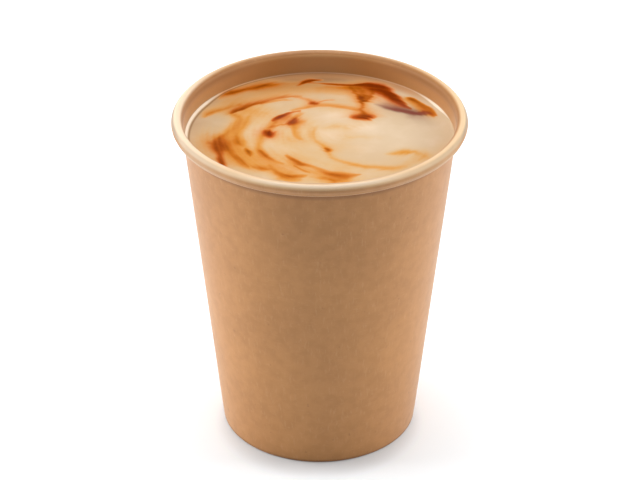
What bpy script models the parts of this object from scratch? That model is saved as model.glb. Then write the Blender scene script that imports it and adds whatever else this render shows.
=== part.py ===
"""Kraft paper hot cup filled with brown sugar milk tea.

The paper pieces are the middle line of their sheet in the XZ plane, turned about +Z and thickened. The
origin is the centre of the circle on which the cup stands.
"""

import math

import bpy

MM = 0.001

# The cup: a 12 oz paper cup with a 90 mm mouth.
CUP_HEIGHT = 107.0 * MM
FOOT_RADIUS = 30.5 * MM
MOUTH_RADIUS = 42.1 * MM
PAPER = 0.4 * MM
PIECE_GAP = 0.3 * MM

# The rolled rim: an oval roll with a shallow crease above its lower lip.
RIM_RADIUS = 45.0 * MM
ROLL_HALF_WIDTH = 1.75 * MM
ROLL_HALF_HEIGHT = 2.0 * MM
ROLL_START = -128.0
ROLL_END = 180.0
ROLL_POINTS = 19
CREASE_ANGLE = -28.0
CREASE_SPREAD = 16.0
CREASE_DEPTH = 0.09

# The foot: the wall folds inwards and up around the skirt of the base.
FOLD_CORNER = 0.45 * MM
FOLD_PITCH = PAPER + PIECE_GAP
HEM_HEIGHT = 7.0 * MM
CORNER_POINTS = 4

# The base: a raised disc with its edge turned down into the fold.
BASE_UNDERSIDE = 7.6 * MM
BASE_BEND = 0.6 * MM
SKIRT_BOTTOM = PAPER + PIECE_GAP

# The lap where the two ends of the wall sheet are glued, at the back.
LAP_WIDTH = 8.0 * MM
LAP_STEP = 0.35 * MM
LAP_ROOT = 0.15 * MM
LAP_BOTTOM = 2.0 * MM
LAP_TOP = CUP_HEIGHT - 2.0 * ROLL_HALF_HEIGHT - PIECE_GAP
LAP_STEPS = 4
LAP_FACING = math.radians(90.0)

# The milk tea: a level surface that climbs the wall in a small meniscus.
TEA_LEVEL = 99.5 * MM
MENISCUS_RISE = 1.0 * MM
MENISCUS_REACH = 3.6 * MM
MENISCUS_FALL = 4.0
MENISCUS_POINTS = 6

TURN_STEPS = 72
MERGE_DISTANCE = 0.05 * MM
SHARP_ANGLE = math.radians(50.0)

WALL_SLOPE = (MOUTH_RADIUS - FOOT_RADIUS) / CUP_HEIGHT
WALL_TILT = math.atan(WALL_SLOPE)
PAPER_ACROSS = PAPER / math.cos(WALL_TILT)
GAP_ACROSS = PIECE_GAP / math.cos(WALL_TILT)

KRAFT = (0.47, 0.29, 0.16, 1.0)
KRAFT_BASE = (0.42, 0.24, 0.12, 1.0)
MILK_TEA = (0.78, 0.52, 0.30, 1.0)


def outer_radius(height):
    """Radius of the wall's outer face at a height."""
    return FOOT_RADIUS + WALL_SLOPE * height


def inner_radius(height):
    """Radius of the wall's inner face at a height."""
    return outer_radius(height) - PAPER_ACROSS


def new_collection(name):
    """Add a collection to the scene."""
    collection = bpy.data.collections.new(name)
    bpy.context.scene.collection.children.link(collection)
    return collection


def plain_material(name, colour, roughness):
    """One Principled material."""
    material = bpy.data.materials.new(name)
    material.use_nodes = True
    shader = material.node_tree.nodes["Principled BSDF"]
    shader.inputs["Base Color"].default_value = colour
    shader.inputs["Roughness"].default_value = roughness
    material.diffuse_color = colour
    return material


def turned(name, outline, angle, steps, collection):
    """An object whose (radius, height) outline at +X is turned about +Z."""
    vertices = [(radius, 0.0, height) for radius, height in outline]
    edges = [(i, i + 1) for i in range(len(outline) - 1)]
    mesh = bpy.data.meshes.new(name)
    mesh.from_pydata(vertices, edges, [])
    item = bpy.data.objects.new(name, mesh)
    collection.objects.link(item)
    turn = item.modifiers.new("Turn", "SCREW")
    turn.axis = "Z"
    turn.angle = angle
    turn.steps = steps
    turn.render_steps = steps
    turn.use_smooth_shade = True
    turn.use_merge_vertices = angle == math.tau
    turn.merge_threshold = MERGE_DISTANCE
    return item


def thicken(item, thickness):
    """Give a turned sheet its thickness, half on each side of its middle."""
    sheet = item.modifiers.new("Paper", "SOLIDIFY")
    sheet.thickness = thickness
    sheet.offset = 0.0
    sheet.use_even_offset = True


def arc(centre, radius, start, end, points):
    """Points on a circular arc, with its angles in degrees."""
    result = []
    for i in range(points):
        angle = math.radians(start + (end - start) * i / (points - 1))
        result.append((centre[0] + radius * math.cos(angle), centre[1] + radius * math.sin(angle)))
    return result


def roll_path():
    """Middle of the paper in the rolled rim, from its hidden tip up over the rim to the wall."""
    half_width = ROLL_HALF_WIDTH - PAPER / 2
    half_height = ROLL_HALF_HEIGHT - PAPER / 2
    centre_radius = RIM_RADIUS - ROLL_HALF_WIDTH
    centre_height = CUP_HEIGHT - ROLL_HALF_HEIGHT
    path = []
    for i in range(ROLL_POINTS):
        turn = ROLL_START + (ROLL_END - ROLL_START) * i / (ROLL_POINTS - 1)
        crease = CREASE_DEPTH * math.exp(-(((turn - CREASE_ANGLE) / CREASE_SPREAD) ** 2))
        angle = math.radians(turn)
        radius = centre_radius + half_width * (1 - crease) * math.cos(angle)
        height = centre_height + half_height * (1 - crease) * math.sin(angle)
        path.append((radius, height))
    return path


def fold_path():
    """Middle of the paper from the foot of the wall, under the skirt and up to the top of the hem."""
    middle = PAPER / 2
    outside = outer_radius(0.0) - middle
    inside = outside - 2 * FOLD_PITCH
    centre_height = middle + FOLD_CORNER
    path = arc((outside - FOLD_CORNER, centre_height), FOLD_CORNER, 0.0, -90.0, CORNER_POINTS)
    path += arc((inside + FOLD_CORNER, centre_height), FOLD_CORNER, -90.0, -180.0, CORNER_POINTS)
    path.append((inside + WALL_SLOPE * HEM_HEIGHT, HEM_HEIGHT))
    return path


def glued_lap(collection):
    """The raised lap, sunk a little into the wall so that the two join."""
    middle = (LAP_STEP - LAP_ROOT) / 2
    outline = [(outer_radius(height) + middle, height) for height in (LAP_TOP, LAP_BOTTOM)]
    angle = LAP_WIDTH / outer_radius(CUP_HEIGHT / 2)
    lap = turned("glued_lap", outline, angle, LAP_STEPS, collection)
    lap.rotation_euler.z = LAP_FACING - angle / 2
    thicken(lap, LAP_STEP + LAP_ROOT)
    lap.hide_render = True
    lap.display_type = "WIRE"
    return lap


def make_cup_wall(collection, helpers):
    """Tapered side wall with its rolled rim, folded foot and glued lap."""
    wall = turned("cup_wall", roll_path() + fold_path(), math.tau, TURN_STEPS, collection)
    thicken(wall, PAPER)
    join = wall.modifiers.new("Lap", "BOOLEAN")
    join.operation = "UNION"
    join.solver = "EXACT"
    join.object = glued_lap(helpers)
    wall.data.materials.append(plain_material("kraft_paper", KRAFT, 0.85))


def make_cup_base(collection):
    """Raised bottom disc with its skirt turned down between the wall and the hem."""
    middle = BASE_UNDERSIDE + PAPER / 2
    half_across = PAPER_ACROSS / 2
    bend_height = middle - BASE_BEND
    bend_radius = inner_radius(bend_height) - GAP_ACROSS - half_across - BASE_BEND
    path = [(0.0, middle)]
    path += arc((bend_radius, bend_height), BASE_BEND, 90.0, 0.0, CORNER_POINTS)
    path.append((inner_radius(SKIRT_BOTTOM) - GAP_ACROSS - half_across, SKIRT_BOTTOM))
    base = turned("cup_base", path, math.tau, TURN_STEPS, collection)
    thicken(base, PAPER)
    base.data.materials.append(plain_material("kraft_base", KRAFT_BASE, 0.85))


def make_milk_tea(collection):
    """The drink, solid from just above the base up to its level."""
    contact = inner_radius(TEA_LEVEL + MENISCUS_RISE) - GAP_ACROSS
    bottom = BASE_UNDERSIDE + PAPER + PIECE_GAP
    outline = [(0.0, TEA_LEVEL), (contact - MENISCUS_REACH, TEA_LEVEL)]
    for i in range(1, MENISCUS_POINTS + 1):
        away = (1 - i / MENISCUS_POINTS) ** 2
        rise = MENISCUS_RISE * math.exp(-MENISCUS_FALL * away)
        outline.append((contact - MENISCUS_REACH * away, TEA_LEVEL + rise))
    outline.append((inner_radius(bottom) - GAP_ACROSS, bottom))
    outline.append((0.0, bottom))
    tea = turned("milk_tea", outline, math.tau, TURN_STEPS, collection)
    tea.data.materials.append(plain_material("milk_tea", MILK_TEA, 0.25))


def main():
    """Build the filled cup in an empty scene."""
    for item in list(bpy.data.objects):
        bpy.data.objects.remove(item)
    drink = new_collection("brown_sugar_milk_tea")
    helpers = new_collection("joined_pieces")
    make_cup_wall(drink, helpers)
    make_cup_base(drink)
    make_milk_tea(drink)
    for item in drink.objects:
        item.data.set_sharp_from_angle(angle=SHARP_ANGLE)


main()
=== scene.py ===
"""Looks of a brown sugar milk tea in a kraft paper cup.

The paper wall, its lap and the drink are outlines that Geometry Nodes turn about the cup's axis. The
syrup is a set of strands laid on the drink, each a smooth route with its own widths and strengths. They
become attributes of the drink's surface, which its material turns into colours.
"""

import math
from collections import namedtuple
from functools import partial

import bpy
import numpy as np
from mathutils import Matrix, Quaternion, Vector, noise


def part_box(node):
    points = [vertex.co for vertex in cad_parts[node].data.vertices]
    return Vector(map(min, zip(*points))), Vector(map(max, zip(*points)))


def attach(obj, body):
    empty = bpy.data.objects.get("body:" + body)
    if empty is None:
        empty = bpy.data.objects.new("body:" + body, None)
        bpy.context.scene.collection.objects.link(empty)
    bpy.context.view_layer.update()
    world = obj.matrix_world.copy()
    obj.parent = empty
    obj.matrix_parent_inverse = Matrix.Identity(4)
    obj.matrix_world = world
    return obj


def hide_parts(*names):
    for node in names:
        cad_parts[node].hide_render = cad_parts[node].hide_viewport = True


bl_info = {
    "name": "Brown sugar milk tea",
    "version": (1, 0, 0),
    "blender": (4, 5, 0),
    "location": "3D View > Sidebar > Milk tea",
    "description": "Dresses a filled paper cup: kraft paper, milk tea and its syrup strands",
    "category": "Object",
}

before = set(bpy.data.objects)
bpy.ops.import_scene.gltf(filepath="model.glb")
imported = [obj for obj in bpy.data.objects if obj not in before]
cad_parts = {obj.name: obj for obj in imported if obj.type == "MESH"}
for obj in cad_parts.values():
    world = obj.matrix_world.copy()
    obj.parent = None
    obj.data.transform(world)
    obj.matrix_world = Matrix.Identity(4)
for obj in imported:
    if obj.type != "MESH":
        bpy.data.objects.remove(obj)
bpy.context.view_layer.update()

MM = 0.001
BODY = "root"
WALL_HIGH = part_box("cup_wall")[1]
BASE_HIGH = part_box("cup_base")[1]
TEA_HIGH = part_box("milk_tea")[1]
WHITE = (1.0, 1.0, 1.0, 1.0)

# The rolled rim, in degrees round the roll, from its hidden tip to the wall.
ROLL_START = -128.0
ROLL_END = 180.0
ROLL_POINTS = 48
CREASE_ANGLE = -28.0
CREASE_SPREAD = 16.0
CREASE_DEPTH = 0.09

# The folded foot, the wall above it and the lap at the back.
FOLD_CORNER = 0.45 * MM
CORNER_POINTS = 7
WALL_ROWS = 26
LAP_ROWS = 24
LAP_SEGMENTS = 12
LAP_FACING = math.radians(90.0)
LAP_BOTTOM = 2.0 * MM
LAP_ROOT = 0.15 * MM
LAP_CLEARANCE = 0.3 * MM

# The drink's surface.
SURFACE_RINGS = 124
MENISCUS_RINGS = 14
MENISCUS_FALL = 4.0
WALL_OVERLAP = 0.1 * MM

MERGE_DISTANCE = 0.001 * MM
SHARP_ANGLE = math.radians(40.0)
WANDER_SEED = 3.0


def srgb(red, green, blue):
    """A linear colour from the 0 to 255 values of a screen."""
    linear = []
    for part in (red, green, blue):
        part /= 255.0
        linear.append(part / 12.92 if part <= 0.04045 else ((part + 0.055) / 1.055) ** 2.4)
    return (*linear, 1.0)


# ---------------- settings


def length(name, description, default):
    """A length property in metres."""
    return bpy.props.FloatProperty(
        name=name, description=description, default=default, min=0.0, precision=5, unit="LENGTH"
    )


def colour(name, description, *default):
    """A colour property, its default given as a screen's values."""
    return bpy.props.FloatVectorProperty(
        name=name, description=description, default=srgb(*default), size=4, min=0.0, max=1.0, subtype="COLOR"
    )


def angle(name, description, degrees):
    """An angle property."""
    return bpy.props.FloatProperty(
        name=name, description=description, default=math.radians(degrees), subtype="ANGLE"
    )


def strength(name, description, default):
    """A light's strength."""
    return bpy.props.FloatProperty(name=name, description=description, default=default, min=0.0)


def count(name, description, default):
    """A number of divisions."""
    return bpy.props.IntProperty(name=name, description=description, default=default, min=8)


class CupSettings(bpy.types.PropertyGroup):
    """Sizes and colours of the paper cup."""

    foot_radius: length("Foot radius", "Outer radius of the wall where it stands", 30.5 * MM)
    mouth_radius: length("Mouth radius", "Outer radius of the wall, drawn on to the rim's top", 42.1 * MM)
    paper: length("Paper", "Thickness of the paper", 0.4 * MM)
    roll_half_width: length("Roll half width", "Half the width of the rolled rim", 1.75 * MM)
    roll_half_height: length("Roll half height", "Half the height of the rolled rim", 2.0 * MM)
    hem_height: length("Hem height", "How far the folded foot goes up inside", 7.0 * MM)
    fold_pitch: length("Fold pitch", "Paper and gap between the layers of the fold", 0.7 * MM)
    lap_width: length("Lap width", "Width of the glued lap at the back", 8.0 * MM)
    lap_step: length("Lap step", "How far the lap stands off the wall", 0.35 * MM)
    wander: length("Wander", "How far the wall strays from a true cone", 0.05 * MM)
    wander_size: length("Wander size", "Distance over which the wall strays", 30.0 * MM)
    segments: count("Segments", "Divisions round the axis", 240)
    kraft: colour("Kraft", "Main colour of the paper", 180, 125, 69)
    # The dark kraft also paints shade: the wall darker towards the top.
    kraft_dark: colour("Dark kraft", "Colour of the paper's darker clouds", 163, 111, 59)
    fibre: colour("Fibre", "Colour of the pale fibres", 204, 160, 112)
    # Besides the flecks, this colour paints shade: a shadow band under the rolled rim, the roll's inner side
    # at the sides and the foot's lower edge.
    fleck: colour("Fleck", "Colour of the dark flecks and of creases", 126, 82, 48)
    lining: colour("Lining", "Colour of the coated inside", 188, 134, 78)
    # The rim's paler colour is partly the coated film and partly painted highlight on the roll's top.
    rim: colour("Rim", "Colour of the coated paper where it is stretched over the rim", 224, 192, 151)
    # Painted highlight on the rim's top at the left and along its front ridge.
    rim_highlight: colour("Pale rim", "Colour of the rim's top at the left and along its ridge", 232, 209, 180)
    # Painted shade on the rim's outside at its sides.
    rim_shade: colour("Rim side", "Colour of the rim's outside where it turns away", 140, 124, 105)
    base_shade: colour("Base shade", "Tint of the base's paper against the wall's", 238, 234, 228)


class DrinkSettings(bpy.types.PropertyGroup):
    """Sizes and colours of the drink."""

    level: length("Level", "Height of the flat surface", TEA_HIGH.z - 1.0 * MM)
    meniscus_reach: length("Meniscus reach", "How far in the raised edge runs", 3.6 * MM)
    segments: count("Segments", "Divisions round the axis", 500)
    tea: colour("Milk tea", "Colour of the drink without syrup", 201, 175, 142)
    cream: colour("Cream", "Colour of the milkiest swirls", 221, 200, 174)
    # Colour of the painted shade in tan: the paper's shade and reflection near the wall, and a darker tone in
    # the middle.
    tan: colour("Tan", "Colour of the drink where the milk is thin", 132, 82, 36)
    mauve: colour("Mauve", "Colour of syrup with milk clouded over it", 124, 66, 54)
    # Painted reflection of the paper in the drink close to the back wall.
    shallow: colour("Shallow", "Colour of the drink close to the paper at the back", 188, 134, 88)
    # Painted highlight on the raised edge where it meets the paper.
    lip: colour("Lip", "Colour of the raised edge against the paper", 246, 230, 208)
    # Painted dark lines on the raised edge: the paper's reflection where the edge begins, and shadow where
    # the drink meets the paper.
    fold: colour("Fold", "Colour of the line where the raised edge begins", 136, 100, 66)


class StageSettings(bpy.types.PropertyGroup):
    """Camera and light."""

    distance: length("Camera distance", "From the aim point to the camera", 845.7 * MM)
    elevation: angle("Camera elevation", "Angle of the view above the horizon", 30.52)
    roll: angle("Camera roll", "Turn of the picture about its centre", 0.13)
    aim_side: length("Aim to the side", "Distance of the aim point from the axis", 0.2 * MM)
    aim_height: length("Aim height", "Height of the aim point", 62.8 * MM)
    lens: bpy.props.FloatProperty(
        name="Lens", description="Focal length in millimetres", default=153.2, min=1.0
    )
    room: strength("Room", "Light from all round", 0.275)
    overhead: strength("Overhead", "Soft light from above", 0.86)
    left: strength("Left", "Power of the soft box at the left, in watts", 8.0)
    right: strength("Right", "Power of the soft box at the right, in watts", 6.4)
    rear: strength("Rear", "Power of the soft box behind and above, in watts", 4.5)
    backdrop: strength("Backdrop", "Power of the low bright wall behind, in watts", 3.0)


# ---------------- nodes


def arithmetic(operation):
    """A value's method for an operator, and the one for the operator with its sides exchanged."""

    def plain(value, other):
        return value.nodes.math(operation, value, other)

    def exchanged(value, other):
        return value.nodes.math(operation, other, value)

    return plain, exchanged


class Value:
    """A socket's value that Python's operators work on."""

    def __init__(self, nodes, socket):
        self.nodes = nodes
        self.socket = socket

    __add__, __radd__ = arithmetic("ADD")
    __sub__, __rsub__ = arithmetic("SUBTRACT")
    __mul__, __rmul__ = arithmetic("MULTIPLY")
    __truediv__, __rtruediv__ = arithmetic("DIVIDE")

    def __abs__(self):
        return self.nodes.math("ABSOLUTE", self)

    def larger(self, other):
        """The larger of two values."""
        return self.nodes.math("MAXIMUM", self, other)

    def step(self, start, full):
        """0 up to start, 1 from full on and smooth between. Start may be the larger of the two."""
        if start > full:
            return 1.0 - self.step(full, start)
        sockets = {"Value": self, "From Min": start, "From Max": full}
        return self.nodes.add("ShaderNodeMapRange", sockets, interpolation_type="SMOOTHSTEP")


class Nodes:
    """Adds nodes to one tree."""

    def __init__(self, tree):
        self.tree = tree

    def add(self, kind, sockets=None, output=0, **settings):
        """A node of that type, with its settings, then its sockets' values or links."""
        made = self.tree.nodes.new(kind)
        for name, value in settings.items():
            if name == "stops":
                self.fill_ramp(made.color_ramp, value)
            else:
                setattr(made, name, value)
        for key, value in (sockets or {}).items():
            if isinstance(value, Value):
                self.tree.links.new(value.socket, made.inputs[key])
            else:
                made.inputs[key].default_value = value
        return Value(self, made.outputs[output]) if made.outputs else made

    def fill_ramp(self, ramp, stops):
        """Give a colour ramp its (position, colour) stops."""
        while len(ramp.elements) < len(stops):
            ramp.elements.new(1.0)
        for element, (position, shade) in zip(ramp.elements, stops):
            element.position = position
            element.color = shade

    def math(self, operation, *numbers):
        """A Math node."""
        return self.add("ShaderNodeMath", dict(enumerate(numbers)), operation=operation)

    def vector(self, operation, *vectors, output=0, **sockets):
        """A Vector Math node, with its vectors in order and any other socket by name."""
        sockets.update(enumerate(vectors))
        return self.add("ShaderNodeVectorMath", sockets, output, operation=operation)

    def ramp(self, factor, stops):
        """A colour that follows a factor."""
        return self.add("ShaderNodeValToRGB", {"Fac": factor}, stops=stops)

    def mix(self, factor, first, second, blend="MIX"):
        """A colour between two colours."""
        sockets = {0: factor, 6: first, 7: second}
        return self.add("ShaderNodeMix", sockets, 2, data_type="RGBA", blend_type=blend)

    def layered(self, ground, *layers):
        """A colour with (cover, colour) layers laid over it in turn."""
        for cover, shade in layers:
            ground = self.mix(cover, ground, shade)
        return ground

    def parts(self, vector):
        """A vector's three numbers."""
        split = self.tree.nodes.new("ShaderNodeSeparateXYZ")
        self.tree.links.new(vector.socket, split.inputs[0])
        return [Value(self, output) for output in split.outputs]

    def joined(self, *numbers):
        """A vector from three numbers."""
        return self.add("ShaderNodeCombineXYZ", dict(enumerate(numbers)))

    def reach(self, across, along):
        """Distance from the axis."""
        return self.vector("LENGTH", self.joined(across, along, 0.0), output=1)

    def clouds(self, place, size, detail):
        """Noise from 0 to 1 whose patches are about that size."""
        sockets = {"Vector": place, "Scale": 1.0 / size, "Detail": detail}
        return self.add("ShaderNodeTexNoise", sockets)

    def attribute(self, name):
        """A number that the mesh carries."""
        return self.add("ShaderNodeAttribute", output=2, attribute_name=name)

    def place(self):
        """The point in the object's own coordinates, in metres."""
        return self.add("ShaderNodeTexCoord", output=3)

    def feed(self, node, **sockets):
        """Link values to a node's sockets, named with _ for a space."""
        for name, value in sockets.items():
            self.tree.links.new(value.socket, node.inputs[name.replace("_", " ")])


class Marks:
    """Marks on a surface, from a table of their covers and of the bands of axes where each begins."""

    def __init__(self, table, **axes):
        self.table = table
        self.axes = axes

    def __getitem__(self, name):
        cover, *bands = self.table[name]
        for axis, start, full in bands:
            cover = cover * self.axes[axis].step(start, full)
        return cover


def new_material(name, preview, **constants):
    """A Principled material with constant sockets set, with its nodes and its shader."""
    material = bpy.data.materials.new(name)
    material.use_nodes = True
    material.diffuse_color = preview
    shader = material.node_tree.nodes["Principled BSDF"]
    for key, value in constants.items():
        shader.inputs[key.replace("_", " ")].default_value = value
    return material, Nodes(material.node_tree), shader


# ---------------- turned shapes


def turned_tree():
    """Geometry Nodes that turn an outline in the XZ plane about +Z, with a slight wander in its radius."""
    tree = bpy.data.node_groups.new("turned outline", "GeometryNodeTree")
    kinds = {"Outline": "Geometry", "Segments": "Int", "Material": "Material"}
    for name in ("Outline", "Segments", "Start", "Sweep", "Wander", "Wander size", "Seed", "Material"):
        kind = "NodeSocket" + kinds.get(name, "Float")
        tree.interface.new_socket(name, in_out="INPUT", socket_type=kind)
    tree.interface.new_socket("Turned", in_out="OUTPUT", socket_type="NodeSocketGeometry")
    nodes = Nodes(tree)
    group = tree.nodes.new("NodeGroupInput")
    given = {socket.name: Value(nodes, socket) for socket in group.outputs if socket.name}

    # A sheet one unit square, its columns going round and its rows down the outline, is wrapped.
    rows = nodes.add("GeometryNodeAttributeDomainSize", {"Geometry": given["Outline"]})
    place = nodes.add("GeometryNodeInputPosition")
    unit = {"Size X": 1.0, "Size Y": 1.0, "Vertices X": given["Segments"] + 1, "Vertices Y": rows}
    sheet = nodes.add("GeometryNodeMeshGrid", unit)
    across, along, _ = nodes.parts(place)
    row = (along + 0.5) * (rows - 1)
    turn = given["Start"] + given["Sweep"] * (across + 0.5)
    point = {"Geometry": given["Outline"], "Value": place, "Index": nodes.math("ROUND", row)}
    point = nodes.add("GeometryNodeSampleIndex", point, data_type="FLOAT_VECTOR")
    radius, _, height = nodes.parts(point)
    wrapped = nodes.joined(radius * nodes.math("COSINE", turn), radius * nodes.math("SINE", turn), height)
    bent = nodes.add("GeometryNodeSetPosition", {"Geometry": sheet, "Position": wrapped})
    facing = nodes.add("GeometryNodeFlipFaces", {"Mesh": bent})
    closed = nodes.add("GeometryNodeMergeByDistance", {"Geometry": facing, "Distance": MERGE_DISTANCE})

    outwards = nodes.vector("NORMALIZE", nodes.vector("MULTIPLY", place, (1.0, 1.0, 0.0)))
    sway = {"Vector": place, "W": given["Seed"], "Scale": 1.0 / given["Wander size"], "Detail": 1.0}
    sway = nodes.add("ShaderNodeTexNoise", sway, noise_dimensions="4D")
    offset = nodes.vector("SCALE", outwards, Scale=given["Wander"] * (sway * 2.0 - 1.0))
    moved = nodes.add("GeometryNodeSetPosition", {"Geometry": closed, "Offset": offset})
    smooth = nodes.add("GeometryNodeSetShadeSmooth", {"Geometry": moved, "Shade Smooth": True})
    real = nodes.add("GeometryNodeRealizeInstances", {"Geometry": smooth})
    done = nodes.add("GeometryNodeSetMaterial", {"Geometry": real, "Material": given["Material"]})
    nodes.add("NodeGroupOutput", {0: done})
    return tree


def turned(name, outline, material, segments, middle=0.0, sweep=math.tau, wander=0.0, wander_size=1.0):
    """An object whose (radius, height) outline is turned through a sweep about its middle direction."""
    mesh = bpy.data.meshes.new(name)
    edges = [(i, i + 1) for i in range(len(outline) - 1)]
    mesh.from_pydata([(radius, 0.0, height) for radius, height in outline], edges, [])
    item = bpy.data.objects.new(name, mesh)
    bpy.context.scene.collection.objects.link(item)
    tree = bpy.data.node_groups.get("turned outline") or turned_tree()
    turn = item.modifiers.new("Turn", "NODES")
    turn.node_group = tree
    values = {
        "Segments": segments,
        "Start": middle - sweep / 2,
        "Sweep": sweep,
        "Wander": wander,
        "Wander size": wander_size,
        "Seed": WANDER_SEED,
        "Material": material,
    }
    for socket in tree.interface.items_tree:
        if socket.name in values:
            turn[socket.identifier] = values[socket.name]
    return item


def thicken(item, thickness):
    """Give a turned sheet its thickness, half on each side of its middle."""
    sheet = item.modifiers.new("Paper", "SOLIDIFY")
    sheet.thickness = thickness
    sheet.offset = 0.0
    sheet.use_even_offset = True


def freeze(item):
    """Turn an object's modifiers into a plain mesh."""
    shown = item.evaluated_get(bpy.context.evaluated_depsgraph_get())
    mesh = bpy.data.meshes.new_from_object(shown)
    mesh.name = item.name
    if mesh.materials[0] is None:
        mesh.materials.pop(index=0)
    item.modifiers.clear()
    item.data = mesh
    mesh.set_sharp_from_angle(angle=SHARP_ANGLE)


def arc(centre, radius, start, end, points):
    """Points on a circular arc, with its angles in degrees."""
    result = []
    for i in range(points):
        turn = math.radians(start + (end - start) * i / (points - 1))
        result.append((centre[0] + radius * math.cos(turn), centre[1] + radius * math.sin(turn)))
    return result


# ---------------- paper cup


class CupForm:
    """Outlines of the paper, worked out from the settings."""

    def __init__(self, cup):
        self.cup = cup
        self.slope = (cup.mouth_radius - cup.foot_radius) / WALL_HIGH.z
        self.across = cup.paper / math.cos(math.atan(self.slope))

    def outer(self, height):
        """Radius of the wall's outer face at a height."""
        return self.cup.foot_radius + self.slope * height

    def inner(self, height):
        """Radius of the wall's inner face at a height."""
        return self.outer(height) - self.across

    def roll(self):
        """Middle of the paper in the rolled rim."""
        cup = self.cup
        half_width = cup.roll_half_width - cup.paper / 2
        half_height = cup.roll_half_height - cup.paper / 2
        centre_radius = WALL_HIGH.x - cup.wander - cup.roll_half_width
        centre_height = WALL_HIGH.z - cup.roll_half_height
        path = []
        for i in range(ROLL_POINTS):
            turn = ROLL_START + (ROLL_END - ROLL_START) * i / (ROLL_POINTS - 1)
            crease = 1 - CREASE_DEPTH * math.exp(-(((turn - CREASE_ANGLE) / CREASE_SPREAD) ** 2))
            radius = centre_radius + half_width * crease * math.cos(math.radians(turn))
            height = centre_height + half_height * crease * math.sin(math.radians(turn))
            path.append((radius, height))
        return path

    def straight(self, top, bottom, offset, rows):
        """Points down the wall, that far outside its outer face."""
        path = []
        for i in range(rows + 1):
            height = top + (bottom - top) * i / rows
            path.append((self.outer(height) + offset, height))
        return path

    def fold(self):
        """Middle of the paper round the foot and up to the top of the hem."""
        cup = self.cup
        middle = cup.paper / 2
        outside = self.outer(0.0) - middle
        inside = outside - 2 * cup.fold_pitch
        height = middle + FOLD_CORNER
        path = arc((outside - FOLD_CORNER, height), FOLD_CORNER, 0.0, -90.0, CORNER_POINTS)
        path += arc((inside + FOLD_CORNER, height), FOLD_CORNER, -90.0, -180.0, CORNER_POINTS)
        path.append((inside + self.slope * cup.hem_height, cup.hem_height))
        return path

    def wall(self):
        """The whole sheet, from the roll's hidden tip to the top of the hem."""
        roll = self.roll()
        fold = self.fold()
        straight = self.straight(roll[-1][1], fold[0][1], -self.across / 2, WALL_ROWS)
        return roll + straight[1:-1] + fold


# The paper's grain: size and detail of its patches, where they start to show and are full, their cover,
# and how the place is stretched and shifted for them.
Grain = namedtuple("Grain", "size detail band cover stretch shift", defaults=((1.0,) * 3, (0.0,) * 3))
GRAIN = {
    "broad": Grain(26.0 * MM, 2.0, (0.36, 0.66), 0.35),
    "mottle": Grain(3.2 * MM, 4.0, (0.35, 0.68), 0.4),
    "upright": Grain(0.7 * MM, 3.0, (0.56, 0.74), 0.16, stretch=(1.0, 1.0, 0.22)),
    "lying": Grain(0.6 * MM, 3.0, (0.57, 0.76), 0.12, stretch=(0.3, 0.3, 1.4)),
    "flecks": Grain(2.2 * MM, 2.0, (0.70, 0.78), 0.35, shift=(0.3, 0.1, 0.2)),
}
RELIEF = {"mottle": 0.5, "upright": 0.3, "lying": 0.3}
RELIEF_STRENGTH = 0.22
RELIEF_DEPTH = 0.12 * MM

# Marks on the paper: their covers, and the axes on which each starts and is full. In millimetres: across,
# along and height from the centre of the foot, beside to either side of it, above from the base's top, up
# from the rim's top, out from the middle of its roll, and film, the same with the film's reach added.
# Aside is a share of the rim's radius, and deep is a share of the paper's thickness, in from its outside.
PAPER_MARKS = {
    # Painted shade: the wall darker towards the top.
    "upper": (0.3, ("height", 40.0, 100.0)),
    # Painted shade along the foot's lower edge.
    "foot": (0.6, ("height", 1.5, 0.3)),
    "lining": (1.0, ("deep", 0.4, 0.8), ("above", -0.2, -0.1)),
    # Painted shade on the roll's inner side, at the sides.
    "hollow": (0.45, ("up", -4.4, -1.9), ("out", -0.6, -1.6), ("aside", 0.35, 0.75)),
    "lap": (0.6, ("along", 0.0, 40.0), ("beside", 16.0, 1.0)),
    # Painted shadow in a band on the wall just under the rolled rim.
    "pressed": (0.6, ("up", -7.0, -5.5), ("up", -3.8, -4.2)),
    "smooth": (1.0, ("up", -3.2, -2.0)),
    "matt": (1.0, ("aside", 0.3, 0.75)),
    # Film colour on the roll's top and outer half: partly the coated film, partly painted highlight; at the
    # back it is taken down as painted shade.
    "crown": (1.0, ("up", -1.9, -0.6), ("film", -0.6, 0.4)),
    "behind": (0.35, ("along", 10.0, 34.0)),
    "roll": (1.0, ("up", -4.0, -3.6), ("out", 0.0, 0.6)),
    # Painted shade on the rim's outside at its sides, and where that outside turns away.
    "turning": (1.0, ("aside", 0.35, 0.95), ("aside", 0.96, 0.87)),
    "flank": (0.55, ("out", 0.3, 1.0)),
    "side": (0.9, ("out", 0.5, 1.3), ("aside", 0.88, 0.97)),
    # Painted highlight along the rim's front ridge and on its left; at the right the painted highlight is
    # narrower.
    "ridge": (0.8, ("out", 0.4, 0.9), ("aside", 0.6, 0.3), ("up", -1.0, -0.5)),
    "pale": (1.0, ("across", -22.0, -42.0)),
    "right": (0.6, ("across", 24.0, 42.0)),
}

# How far in the film on the rim reaches at its sides, in millimetres, and what the films cover; on the rim
# their paler colour is partly painted highlight.
FILM_REACH = 1.3
LINING_COVER = 0.85
CROWN_COVER = 0.9
ROLL_COVER = 0.04
ROLL_TURNING = 0.4

# Roughness of bare paper and what changes it, gloss of the films and where a glancing view ends it.
PAPER_ROUGHNESS = 0.62
FILM_SMOOTHING = 0.15
MOTTLE_ROUGHNESS = 0.10
SIDE_ROUGHNESS = 0.4
LINING_GLOSS = 0.08
CROWN_GLOSS = 0.8
SIDE_DULLING = 0.75
GLANCING = (0.9, 0.55)


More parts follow.
